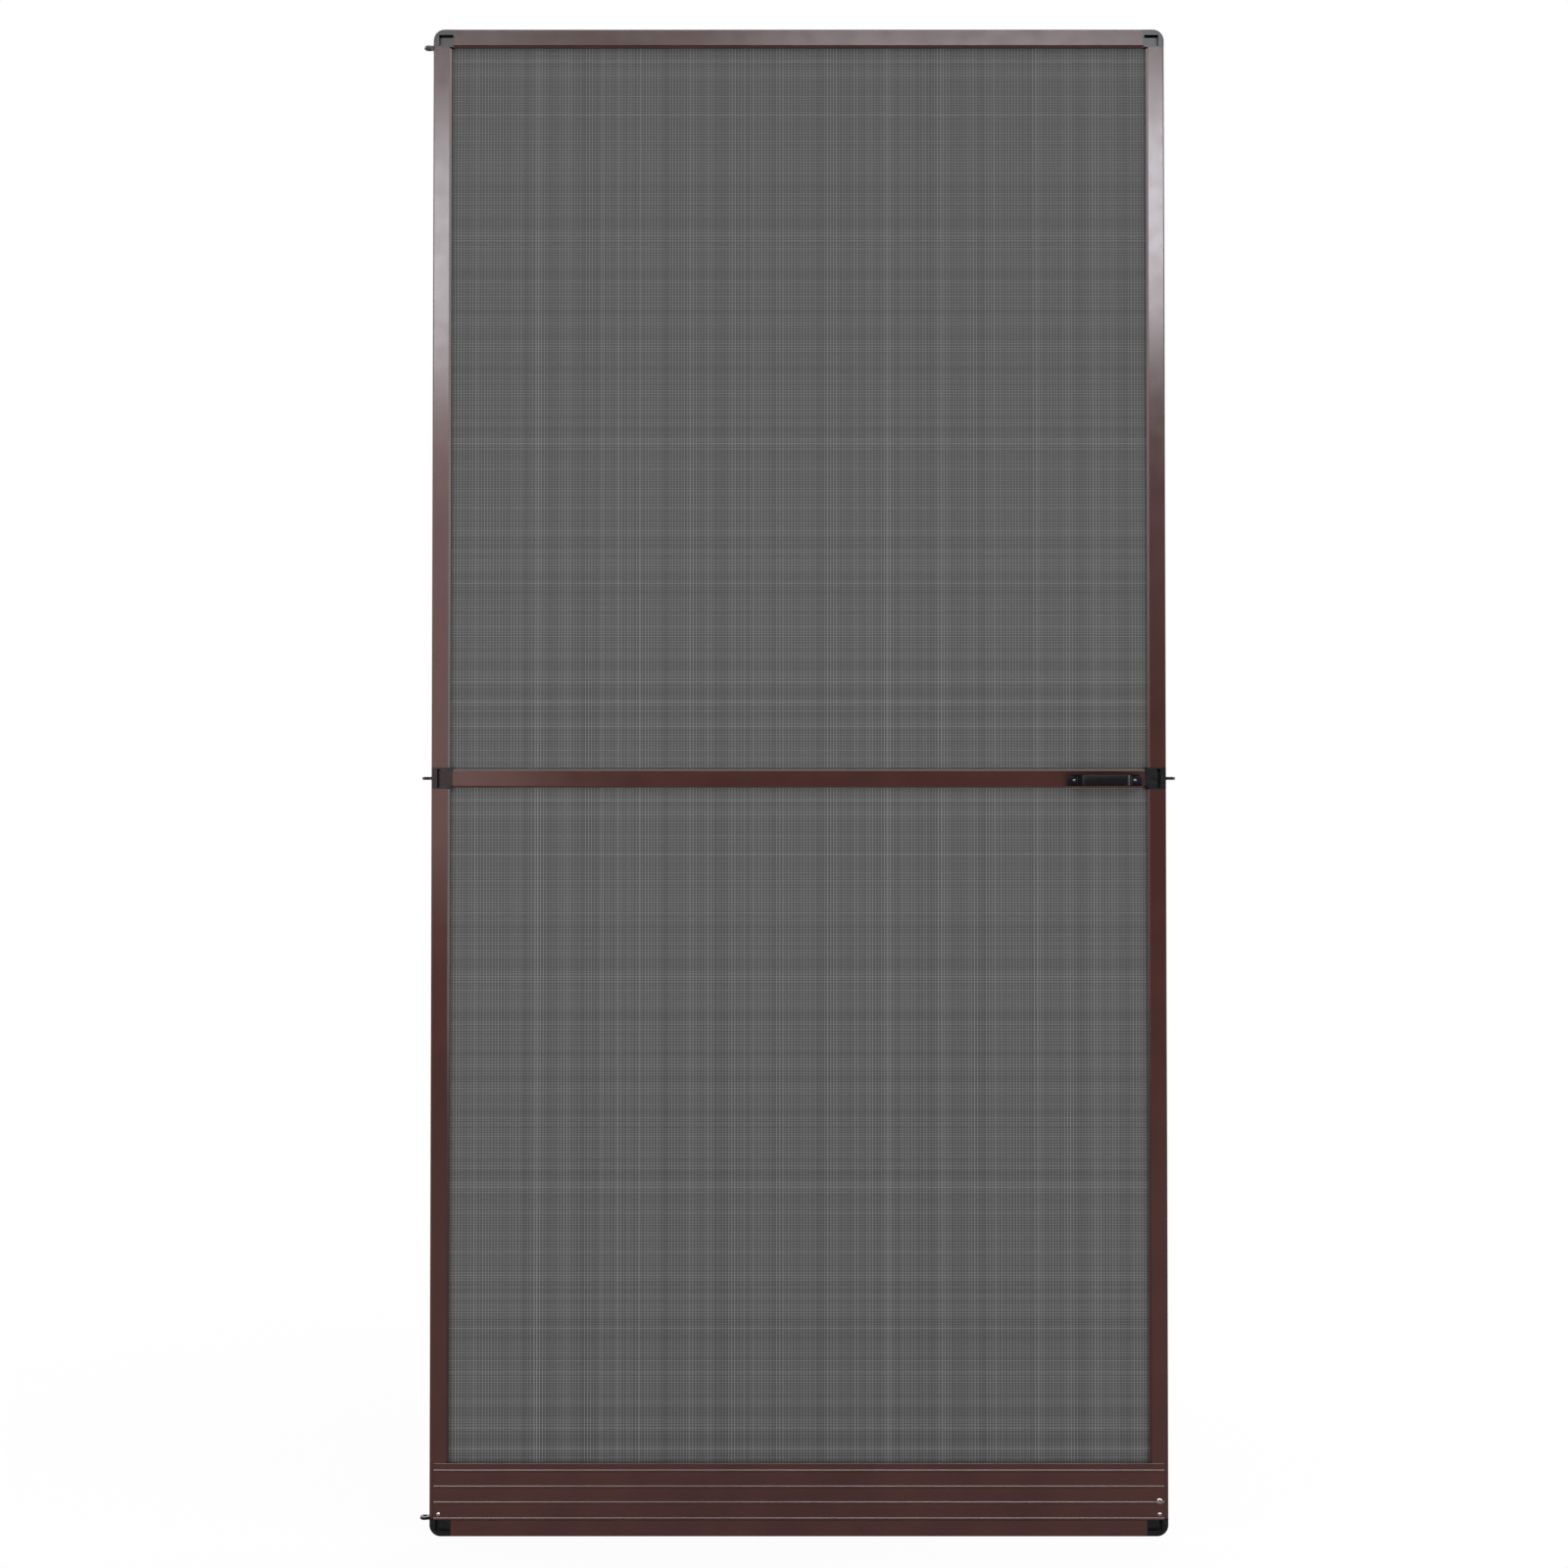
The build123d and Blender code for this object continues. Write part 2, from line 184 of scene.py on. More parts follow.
class PullSizes(bpy.types.PropertyGroup):
    """The bow pull. Its length, width and reach come from the frame."""

    foot: FloatProperty(
        name="Foot", description="Length of each foot", unit="LENGTH", default=22 * MM,
    )
    foot_thickness: FloatProperty(
        name="Foot Thickness", description="Thickness of the feet", unit="LENGTH",
        default=4.5 * MM,
    )
    grip: FloatProperty(
        name="Grip", description="Thickness of the grip", unit="LENGTH", default=6.5 * MM,
    )
    slope: FloatProperty(
        name="Slope", description="Run of each slanting arm", unit="LENGTH", default=7 * MM,
    )
    bend: FloatProperty(
        name="Bend", description="Inner radius where arm and grip meet", unit="LENGTH",
        default=5 * MM,
    )
    toe: FloatProperty(
        name="Toe", description="Radius at the end of a foot", unit="LENGTH", default=0.6 * MM,
    )
    heel: FloatProperty(
        name="Heel", description="Radius where foot and arm meet", unit="LENGTH", default=2 * MM,
    )
    edge: FloatProperty(
        name="Edge", description="Radius of the long edges", unit="LENGTH", default=1.3 * MM,
    )
    seat: FloatProperty(
        name="Seat", description="Depth of the seat for a screw head", unit="LENGTH",
        default=1.2 * MM,
    )
    seat_clearance: FloatProperty(
        name="Seat Clearance", description="Gap round a screw's head", unit="LENGTH",
        default=0.35 * MM,
    )
    hole_clearance: FloatProperty(
        name="Hole Clearance", description="Gap round a screw's shank", unit="LENGTH",
        default=0.1 * MM,
    )


class FastenerSizes(bpy.types.PropertyGroup):
    """Screws and rivets. Their places and diameters come from the frame."""

    rivet_height: FloatProperty(
        name="Rivet Head", description="Height of a rivet head", unit="LENGTH",
        default=1.3 * MM,
    )
    kick_height: FloatProperty(
        name="Plate Screw Head", description="Height of the kick plate's screw head",
        unit="LENGTH", default=2.2 * MM,
    )
    pull_height: FloatProperty(
        name="Pull Screw Head", description="Height of a pull screw's head", unit="LENGTH",
        default=1.8 * MM,
    )
    rivet_shank: FloatProperty(
        name="Rivet Shank", description="Radius of the kick plate's shanks", unit="LENGTH",
        default=1.9 * MM,
    )
    pull_shank: FloatProperty(
        name="Pull Screw Shank", description="Radius of the pull screws' shanks",
        unit="LENGTH", default=1.5 * MM,
    )
    thread: FloatProperty(
        name="Thread", description="Pitch of the thread, drawn as rings", unit="LENGTH",
        default=1.25 * MM,
    )
    turn: FloatProperty(
        name="Turn", description="The most that a head is turned by chance", subtype="ANGLE",
        default=1.2,
    )


class MeshSizes(bpy.types.PropertyGroup):
    """The woven mesh and the cord that holds it."""

    # The real yarn is 0.28 mm thick. Its threads are drawn three to five times wider, so that the
    # panels look nearly opaque, as real ones do from some way off.
    upright_pitch: FloatProperty(
        name="Upright Pitch", description="Between upright threads, 16 to the inch",
        unit="LENGTH", default=1.59 * MM,
    )
    upright_share: FloatProperty(
        name="Upright Share", description="Part of its pitch that an upright thread covers",
        subtype="FACTOR", min=0, max=1, default=0.52,
    )
    level_pitch: FloatProperty(
        name="Level Pitch", description="Between level threads, 18 to the inch",
        unit="LENGTH", default=1.41 * MM,
    )
    level_share: FloatProperty(
        name="Level Share", description="Part of its pitch that a level thread covers",
        subtype="FACTOR", min=0, max=1, default=1.0,
    )
    upright_contrast: FloatProperty(
        name="Upright Contrast", description="How much the upright threads' greys differ",
        subtype="FACTOR", min=0, max=1, default=1.0,
    )
    level_contrast: FloatProperty(
        name="Level Contrast", description="How much the level threads' greys differ",
        subtype="FACTOR", min=0, max=1, default=0.55,
    )
    thickness: FloatProperty(
        name="Thickness", description="Thickness of a level thread, half an upright one's",
        unit="LENGTH", default=0.2 * MM,
    )
    dark: FloatVectorProperty(
        name="Dark Thread", description="Colour of the darkest threads", subtype="COLOR", size=3,
        default=linear(0x383838),
    )
    light: FloatVectorProperty(
        name="Light Thread", description="Colour of the lightest threads", subtype="COLOR", size=3,
        default=linear(0x7D7D7D),
    )
    repeat: IntProperty(
        name="Repeat", description="Every so many threads one is lighter", default=3, min=1,
    )
    stretch: FloatProperty(
        name="Stretch", description="Threads from where the lighter ones show to where they don't",
        default=14.0,
    )
    seed: IntProperty(name="Seed", description="Seed of the threads' differences", default=7)
    cord: FloatVectorProperty(
        name="Cord", description="Colour of the spline cord", subtype="COLOR", size=3,
        default=linear(0x1B1B1D),
    )
    cord_groove: FloatProperty(
        name="Cord Groove", description="Depth of the grooves along the spline cord",
        unit="LENGTH", default=0.15 * MM,
    )


class Studio(bpy.types.PropertyGroup):
    """The camera and the lights."""

    distance: FloatProperty(
        name="Distance", description="Camera to the leaf", unit="LENGTH", default=3.2975,
    )
    height: FloatProperty(
        name="Height", description="Camera above the origin", unit="LENGTH", default=1.1096,
    )
    across: FloatProperty(
        name="Across", description="Camera to the right of the origin", unit="LENGTH",
        default=0.5689,
    )
    pitch: FloatProperty(
        name="Pitch", description="How far the camera looks up", subtype="ANGLE",
        default=math.radians(0.95),
    )
    lens: FloatProperty(
        name="Lens", description="Focal length on a 36 mm sensor", unit="CAMERA", default=47.5,
    )
    key: FloatProperty(
        name="Key Light", description="Radiance of the upper right softbox", default=17.2,
    )
    second: FloatProperty(
        name="Second Light", description="Radiance of the upper left softbox", default=13.1,
    )
    screen: FloatProperty(
        name="Screen", description="Radiance of the tall diffuser on the left", default=2.3,
    )
    faint: FloatProperty(
        name="Faint Screen", description="Radiance of the faint screen on the right", default=0.36,
    )
    fill: FloatProperty(
        name="Fill", description="Radiance of the two low lights that only matt surfaces show",
        default=14.0,
    )
    even: FloatProperty(
        name="Even Light", description="Radiance of the room on matt surfaces", default=0.8,
    )
    ceiling: FloatProperty(
        name="Ceiling", description="Radiance of the bright ceiling in glosses", default=3.9,
    )
    left_side: FloatProperty(
        name="Left Side", description="Radiance of the room's left side in glosses", default=1.0,
    )
    right_side: FloatProperty(
        name="Right Side", description="Radiance of the room's right side in glosses",
        default=3.0,
    )
    upper_sides: FloatProperty(
        name="Upper Sides", description="Radiance of both sides above eye level in glosses",
        default=6.0,
    )
    zenith: FloatProperty(
        name="Zenith", description="Share of the ceiling's radiance straight above", default=0.55,
    )
    ground: FloatProperty(
        name="Ground", description="Radiance of the floor in glosses", default=0.25,
    )


# Materials

def new_material(name):
    """A new material with a Principled shader on its output, its tree and the shader."""
    material = bpy.data.materials.new(name)
    material.use_nodes = True
    tree = material.node_tree
    tree.nodes.clear()
    shader = add(tree, "ShaderNodeBsdfPrincipled")
    add(tree, "ShaderNodeOutputMaterial", {"Surface": shader.outputs["BSDF"]})
    return material, tree, shader


def clouds(tree, size):
    """A value that changes softly in lumps of about this size."""
    place = add(tree, "ShaderNodeTexCoord").outputs["Object"]
    inputs = {"Vector": place, "Scale": 1 / size, "Detail": 2.0}
    return add(tree, "ShaderNodeTexNoise", inputs).outputs["Fac"]


def patches(tree, size, low, high):
    """A value that drifts between low and high in patches of about this size."""
    inputs = {"Value": clouds(tree, size), **LUMPS, "To Min": low, "To Max": high}
    return add(tree, "ShaderNodeMapRange", inputs).outputs["Result"]


def tint(tree, shader, factor, first, second):
    """Colours a shader between two colours."""
    inputs = {"Factor": factor, COLOUR_A: (*first, 1), COLOUR_B: (*second, 1)}
    colour = add(tree, "ShaderNodeMix", inputs, data_type="RGBA").outputs[COLOUR_RESULT]
    tree.links.new(colour, shader.inputs["Base Color"])


def wear(tree, shader, size, low, high):
    """Lets a shader's roughness drift between low and high."""
    tree.links.new(patches(tree, size, low, high), shader.inputs["Roughness"])


def relief(tree, shader, size, strength, height):
    """Gives a shader fine bumps of about this size and height."""
    inputs = {"Height": clouds(tree, size), "Strength": strength, "Distance": height}
    tree.links.new(add(tree, "ShaderNodeBump", inputs).outputs["Normal"], shader.inputs["Normal"])


def powder_coat(finish):
    """Satin brown polyester powder coat, baked on: an even colour that clouds a little, a soft
    wide highlight and a faint orange peel."""
    material, tree, shader = new_material("powder_coat_brown")
    tint(tree, shader, patches(tree, 90 * MM, 0, 1), finish.coat_shade, finish.coat)
    rough = finish.coat_roughness
    wear(tree, shader, 25 * MM, rough - 0.02, rough + 0.03)
    # The real peel is about 1 mm from crest to crest and is drawn at 3 mm, so that it can show.
    relief(tree, shader, size=3 * MM, strength=0.15, height=0.02 * MM)
    return material


def moulded_plastic(name, colour, roughness, gloss, grain):
    """Injection moulded black plastic from a finely eroded mould: matt grain over a dark body."""
    material, tree, shader = new_material(name)
    grey = tuple(1.4 * c + 0.0005 for c in colour)
    tint(tree, shader, patches(tree, 12 * MM, 0, 1), colour, grey)
    wear(tree, shader, 6 * MM, roughness - 0.04, roughness + 0.04)
    shader.inputs["Specular IOR Level"].default_value = gloss
    # The real grain is about 0.3 mm wide. It is drawn a few times coarser, so that it can show.
    relief(tree, shader, grain, strength=0.25, height=0.03 * MM)
    return material


def coated_yarn(sizes):
    """Fibreglass yarn with a grey vinyl coat, woven and fused: each thread has its own grey, and
    the coat is a dull satin."""
    material, tree, shader = new_material("vinyl_coated_fibreglass")
    shade = add(tree, "ShaderNodeAttribute", attribute_name="shade").outputs["Fac"]
    tint(tree, shader, shade, sizes.dark, sizes.light)
    wear(tree, shader, 4 * MM, 0.52, 0.66)
    shader.inputs["Specular IOR Level"].default_value = 0.25
    return material


def soft_rubber(colour):
    """Extruded soft vinyl cord: black and dull, with small greyer patches of bloom."""
    material, tree, shader = new_material("soft_vinyl_cord")
    bloom = tuple(2 * c + 0.004 for c in colour)
    tint(tree, shader, patches(tree, 5 * MM, 0, 1), colour, bloom)
    wear(tree, shader, 3 * MM, 0.55, 0.75)
    return material


def bright_metal(name, colour, roughness):
    """Plated or bright metal: a mirror colour with fine wear that changes its roughness."""
    material, tree, shader = new_material(name)
    dull = tuple(0.75 * c for c in colour)
    tint(tree, shader, patches(tree, 1.2 * MM, 0, 1), dull, colour)
    shader.inputs["Metallic"].default_value = 1.0
    wear(tree, shader, 0.6 * MM, roughness - 0.06, roughness + 0.1)
    return material


def dress(nodes, material):
    """Gives carried-over nodes a material."""
    for name in nodes:
        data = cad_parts[name].data
        data.materials.clear()
        data.materials.append(material)


# Geometry Nodes

def new_tree(name, sockets):
    """A geometry tree with these named inputs, and its group input node."""
    tree = bpy.data.node_groups.new(name, "GeometryNodeTree")
    tree.interface.new_socket("Geometry", in_out="INPUT", socket_type="NodeSocketGeometry")
    for label, kind in sockets.items():
        tree.interface.new_socket(label, in_out="INPUT", socket_type="NodeSocket" + kind)
    tree.interface.new_socket("Geometry", in_out="OUTPUT", socket_type="NodeSocketGeometry")
    return tree, add(tree, "NodeGroupInput").outputs


def end_tree(tree, geometry, material):
    """Ends a tree in plain geometry with its material."""
    real = add(tree, "GeometryNodeRealizeInstances", {"Geometry": geometry})
    inputs = {"Geometry": real.outputs["Geometry"], "Material": material}
    coloured = add(tree, "GeometryNodeSetMaterial", inputs)
    add(tree, "NodeGroupOutput", {"Geometry": coloured.outputs["Geometry"]})


def row_tree():
    """Repeats one piece in a straight row. Each copy turns about Y by chance and gets a shade."""
    tree, given = new_tree("Row", {
        "Count": "Int", "Start": "Vector", "Step": "Vector", "Turn": "Float",
        "Repeat": "Int", "Stretch": "Float", "Contrast": "Float", "Seed": "Int",
        "Material": "Material",
    })
    inputs = {"Count": given["Count"], "Start Location": given["Start"], "Offset": given["Step"]}
    line = add(tree, "GeometryNodeMeshLine", inputs)
    inputs = {CHANCE_MAX: given["Turn"], "Seed": given["Seed"]}
    turn = add(tree, "FunctionNodeRandomValue", inputs).outputs[CHANCE]
    about = add(tree, "ShaderNodeCombineXYZ", {"Y": turn})
    inputs = {
        "Points": line.outputs["Mesh"], "Instance": given["Geometry"],
        "Rotation": about.outputs["Vector"],
    }
    copies = add(tree, "GeometryNodeInstanceOnPoints", inputs)

    # The shade is 0 for a dark copy and 1 for a light one. The first copy of every group of
    # Repeat is lighter, by what a wave along the row gives there.
    index = add(tree, "GeometryNodeInputIndex").outputs["Index"]
    inputs = {0: index, 1: given["Repeat"]}
    place = add(tree, "ShaderNodeMath", inputs, operation="MODULO").outputs[0]
    first = add(tree, "ShaderNodeMath", {0: place, 1: 0.5}, operation="LESS_THAN").outputs[0]
    inputs = {0: index, 1: given["Stretch"]}
    along = add(tree, "ShaderNodeMath", inputs, operation="DIVIDE").outputs[0]
    inputs = {0: along, 1: given["Seed"]}
    along = add(tree, "ShaderNodeMath", inputs, operation="ADD").outputs[0]
    wave = add(tree, "ShaderNodeTexNoise", {"W": along, "Scale": 1.0}, noise_dimensions="1D")
    inputs = {"Value": wave.outputs["Fac"], **LUMPS, "To Min": 0.15, "To Max": 0.9}
    lighter = add(tree, "ShaderNodeMapRange", inputs).outputs["Result"]
    shade = add(tree, "ShaderNodeMath", {0: first, 1: lighter}, operation="MULTIPLY").outputs[0]

    # All copies differ a little by chance, and a high power of the same chance picks a few.
    power, slight, strong = 24.0, 0.18, 0.5
    inputs = {CHANCE_MAX: 1.0, "Seed": given["Seed"]}
    chance = add(tree, "FunctionNodeRandomValue", inputs).outputs[CHANCE]
    picked = add(tree, "ShaderNodeMath", {0: chance, 1: power}, operation="POWER").outputs[0]
    for value, part in ((chance, slight), (picked, strong)):
        share = add(tree, "ShaderNodeMath", {0: value, 1: part}, operation="MULTIPLY").outputs[0]
        shade = add(tree, "ShaderNodeMath", {0: shade, 1: share}, operation="ADD").outputs[0]
    inputs = {0: shade, 1: given["Contrast"]}
    shade = add(tree, "ShaderNodeMath", inputs, operation="MULTIPLY").outputs[0]
    inputs = {"Geometry": copies.outputs["Instances"], "Name": "shade", "Value": shade}
    stored = add(
        tree, "GeometryNodeStoreNamedAttribute", inputs, data_type="FLOAT", domain="INSTANCE",
    )
    end_tree(tree, stored.outputs["Geometry"], given["Material"])
    return tree


def cord_tree():
    """A ribbed cord laid round a rectangle in X and Z, with round corners."""
    tree, given = new_tree("Cord Ring", {
        "Width": "Float", "Height": "Float", "Centre": "Vector", "Corner": "Float",
        "Radius": "Float", "Groove": "Float", "Material": "Material",
    })
    inputs = {"Width": given["Width"], "Height": given["Height"]}
    path = add(tree, "GeometryNodeCurvePrimitiveQuadrilateral", inputs, mode="RECTANGLE")
    inputs = {"Curve": path.outputs["Curve"], "Radius": given["Corner"], "Count": 8}
    path = add(tree, "GeometryNodeFilletCurve", inputs, mode="POLY")
    inputs = {0: given["Radius"], 1: given["Groove"]}
    inner = add(tree, "ShaderNodeMath", inputs, operation="SUBTRACT").outputs[0]
    inputs = {"Points": 12, "Inner Radius": inner, "Outer Radius": given["Radius"]}
    section = add(tree, "GeometryNodeCurveStar", inputs)
    inputs = {"Curve": path.outputs["Curve"], "Profile Curve": section.outputs["Curve"]}
    cord = add(tree, "GeometryNodeCurveToMesh", inputs)
    inputs = {
        "Geometry": cord.outputs["Mesh"], "Translation": given["Centre"],
        "Rotation": (math.pi / 2, 0, 0),
    }
    stood = add(tree, "GeometryNodeTransform", inputs)
    end_tree(tree, stood.outputs["Geometry"], given["Material"])
    return tree


def grown(name, mesh, tree, values):
    """Runs a tree on a mesh and returns an object with the plain result."""
    piece = bpy.data.objects.new(name, mesh)
    bpy.context.scene.collection.objects.link(piece)
    modifier = piece.modifiers.new(tree.name, "NODES")
    modifier.node_group = tree
    for item in tree.interface.items_tree:
        if item.in_out == "INPUT" and item.name in values:
            modifier[item.identifier] = values[item.name]
    graph = bpy.context.evaluated_depsgraph_get()
    made = bpy.data.meshes.new_from_object(
        piece.evaluated_get(graph), preserve_all_data_layers=True, depsgraph=graph,
    )
    piece.modifiers.remove(modifier)
    piece.data = made
    return piece


def joined(name, pieces):
    """Joins objects into the first one, under a new name."""
    with bpy.context.temp_override(
        active_object=pieces[0], selected_editable_objects=pieces, selected_objects=pieces,
    ):
        bpy.ops.object.join()
    pieces[0].name = name
    return pieces[0]


# Pieces

def thread_mesh(path, across, width, thickness):
    """One flat yarn with a lozenge section, mitred at its bends. Its wide side is across."""
    rings = []
    for place, point in enumerate(path):
        before = (point - path[place - 1]).normalized() if place else None
        after = (path[place + 1] - point).normalized() if place + 1 < len(path) else None
        along = ((before or after) + (after or before)).normalized()
        stretch = 1 / along.dot(after or before)
        out = along.cross(across) * stretch
        rings.append([
            point + across * width / 2, point + out * thickness / 2,
            point - across * width / 2, point - out * thickness / 2,
        ])
    sides = len(rings[0])
    faces = [tuple(reversed(range(sides)))]
    for ring in range(len(rings) - 1):
        for side in range(sides):
            next_side = (side + 1) % sides
            faces.append((
                ring * sides + side, ring * sides + next_side,
                (ring + 1) * sides + next_side, (ring + 1) * sides + side,
            ))
    faces.append(tuple(range((len(rings) - 1) * sides, len(rings) * sides)))
    mesh = bpy.data.meshes.new("thread")
    mesh.from_pydata([v for ring in rings for v in ring], [], faces)
    return mesh


def outward(mesh):
    """Turns all the faces of a closed mesh outwards."""
    work = bmesh.new()
    work.from_mesh(mesh)
    bmesh.ops.recalc_face_normals(work, faces=work.faces)
    work.to_mesh(mesh)
    work.free()


def woven_panel(node, sizes, tree, material):
    """One panel of mesh: upright and level threads that lie over the rails' ribs, with their ends
    tucked down into the groove. The upright threads are thicker and stand out on both faces."""
    low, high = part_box(node)
    sheet = 2 * sizes.thickness
    plane = high.y - sheet / 2
    families = []
    for name, along, across, thickness, pitch, share, contrast in (
        (
            "upright", Vector((0, 0, 1)), Vector((1, 0, 0)), sheet,
            sizes.upright_pitch, sizes.upright_share, sizes.upright_contrast,
        ), (
            "level", Vector((1, 0, 0)), Vector((0, 0, 1)), sizes.thickness,
            sizes.level_pitch, sizes.level_share, sizes.level_contrast,
        ),
    ):
        width = pitch * share
        first = along.dot(low) + sheet / 2
        last = along.dot(high) - sheet / 2
        path = [
            along * first + Vector((0, low.y, 0)), along * first + Vector((0, plane, 0)),
            along * last + Vector((0, plane, 0)), along * last + Vector((0, low.y, 0)),
        ]
        mesh = thread_mesh(path, across, width, thickness)
        outward(mesh)
        room = across.dot(high - low) - 2 * sheet - width
        count = int(room / pitch) + 1
        start = across.dot(low) + sheet + width / 2 + (room - (count - 1) * pitch) / 2
        families.append(grown(node + "_" + name, mesh, tree, {
            "Count": count, "Start": across * start, "Step": across * pitch,
            "Repeat": sizes.repeat, "Stretch": sizes.stretch, "Contrast": contrast,
            "Seed": sizes.seed + len(families), "Material": material,
        }))
    panel = joined("woven_" + node, families)
    return panel, (high.x - low.x, high.z - low.z)


def rounded(corners):
    """The points of a polygon with round corners, each given as two places and a radius."""
    points, steps = [], 6
    for index, (*place, radius) in enumerate(corners):
        here = Vector(place)
        before = (Vector(corners[index - 1][:2]) - here).normalized()
        after = (Vector(corners[(index + 1) % len(corners)][:2]) - here).normalized()
        if not radius:
            points.append(here)
            continue
        half = before.angle(after) / 2
        run = radius / math.tan(half)
        centre = here + (before + after).normalized() * radius / math.sin(half)
        start, end = here + before * run - centre, here + after * run - centre
        ways = [start.slerp(end, step / steps).normalized() for step in range(steps + 1)]
        points += [centre + radius * way for way in ways]
    return points


def prism(name, outline, low, high, place):
    """A closed mesh with this outline, from low to high. place turns the three into a point."""
    count = len(outline)
    points = [place(*point, level) for level in (low, high) for point in outline]
    faces = [tuple(range(count)), tuple(range(2 * count - 1, count - 1, -1))]
    for side in range(count):
        after = (side + 1) % count
        faces.append((side, after, count + after, count + side))
    mesh = bpy.data.meshes.new(name)
    mesh.from_pydata(points, [], faces)
    outward(mesh)
    return mesh


def lathed(name, profile, sides=28):
    """A closed mesh turned about Y. Its profile, as radius and Y, runs from pole to pole."""
    points, rings = [], []
    for radius, y in profile:
        turns = sides if radius else 1
        rings.append(range(len(points), len(points) + turns))
        for turn in range(turns):
            angle = 2 * math.pi * turn / sides
            points.append((radius * math.cos(angle), y, radius * math.sin(angle)))
    faces = []
    for near, far in zip(rings, rings[1:]):
        for side in range(sides):
            after = side + 1
            face = [ring[turn % len(ring)] for ring, turn in (
                (near, side), (near, after), (far, after), (far, side),
            )]
            faces.append(tuple(dict.fromkeys(face)))
    mesh = bpy.data.meshes.new(name)
    mesh.from_pydata(points, [], faces)
    outward(mesh)
    return mesh


def cross_plug(reach, width, top, floor, taper=0.55):
    """The space of a cross recess, from Y = top to its floor, where it is smaller by taper."""
    quarter = [(reach, width), (width, width), (width, reach)]
    outline = []
    for turn in range(4):
        for x, z in quarter:
            for _ in range(turn):
                x, z = -z, x
            outline.append((x, z))
    mesh = prism("cross", outline, top, floor, lambda x, z, y: (x, y, z))
    for vertex in mesh.vertices:
        if abs(vertex.co.y - floor) < abs(vertex.co.y - top):
            vertex.co.x *= taper
            vertex.co.z *= taper
    return mesh


def finished(mesh, cutters=(), bevel=0.0):
    """The mesh with cutters taken out, sharp edges rounded and the rest shaded smooth."""
    piece = bpy.data.objects.new(mesh.name, mesh)
    bpy.context.scene.collection.objects.link(piece)
    if bevel:
        edges = piece.modifiers.new("edges", "BEVEL")
        edges.width, edges.segments = bevel, 4
        edges.limit_method, edges.angle_limit = "ANGLE", math.radians(50)
    tools = []
    for cutter in cutters:
        tool = bpy.data.objects.new("cutter", cutter)
        bpy.context.scene.collection.objects.link(tool)
        cut = piece.modifiers.new("cut", "BOOLEAN")
        cut.operation, cut.solver, cut.object = "DIFFERENCE", "EXACT", tool
        tools.append(tool)
    graph = bpy.context.evaluated_depsgraph_get()
    made = bpy.data.meshes.new_from_object(piece.evaluated_get(graph), depsgraph=graph)
    for item in (piece, *tools):
        bpy.data.objects.remove(item)
    made.shade_smooth()
    made.set_sharp_from_angle(angle=SMOOTH_BELOW)
    return made


def moved(mesh, offset):
    """The mesh, shifted."""
    mesh.transform(Matrix.Translation(offset))
    return mesh


def crossed_screw(radius, height, shank, length, pitch):
    """A pan head screw with its head's underside at Y = 0, a cross recess and a ringed shank."""
    rim, dome, flatness, steps = 0.4 * height, 0.6 * height, 0.7, 8
    profile = []
    for step in range(steps + 1):
        angle = math.pi / 2 * step / steps
        profile.append((radius * math.sin(angle), -rim - dome * math.cos(angle) ** flatness))
    # The head is drawn in a little at its foot.
    profile += [(radius * 0.985, -0.05 * height), (radius * 0.95, 0), (shank, 0)]
    root, first, rings = 0.8 * shank, 0.7, int((length - 2 * pitch) / pitch)
    for ring in range(rings):
        y = pitch * (ring + first)
        profile += [(root, y), (shank, y + pitch / 2)]
    profile += [(root, length - pitch), (0, length)]
    reach, width = 0.52 * radius, 0.13 * radius
    recess = cross_plug(reach, width, top=-1.2 * height, floor=-0.25 * height)
    return finished(lathed("screw", profile), [recess])


def blind_rivet(radius, height, shank, length):
    """A domed blind rivet with its head's underside at Y = 0 and the broken mandrel in a pit."""
    pit, stub, floor = 0.3 * radius, 0.24 * radius, -0.6 * height
    # The stub's end is a little hollow, and the pit's wall leans outwards.
    profile = [(0, -0.72 * height), (stub * 0.8, -0.74 * height), (stub, floor)]
    profile += [(pit, floor), (pit * 1.05, -0.96 * height)]
    # The dome starts outside the pit, some steps away from its middle.
    rim, dome, start, end = 0.15 * height, 0.85 * height, 1.5, 7.5
    for step in range(int(end - start) + 1):
        angle = math.pi / 2 * (start + step) / end
        profile.append((radius * math.sin(angle), -rim - dome * math.cos(angle)))
    # Under the head follows a shank whose end is chamfered.
    profile += [(radius * 0.97, 0), (shank, 0), (shank, length * 0.9)]
    profile += [(shank * 0.85, length), (0, length)]
    return finished(lathed("rivet", profile))


def fastened(name, mesh, nodes, height, turn, material, tree):
    """Sets one fastener mesh in the place of each of the nodes, which lie in a level row."""
    places = []
    for node in nodes:
        low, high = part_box(node)
        places.append(Vector(((low.x + high.x) / 2, low.y + height, (low.z + high.z) / 2)))
    piece = grown(name, mesh, tree, {
        "Count": len(places), "Start": places[0], "Step": places[-1] - places[0],
        "Turn": turn, **PLAIN_ROW, "Material": material,
    })
    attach(piece, "root")
    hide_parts(*nodes)


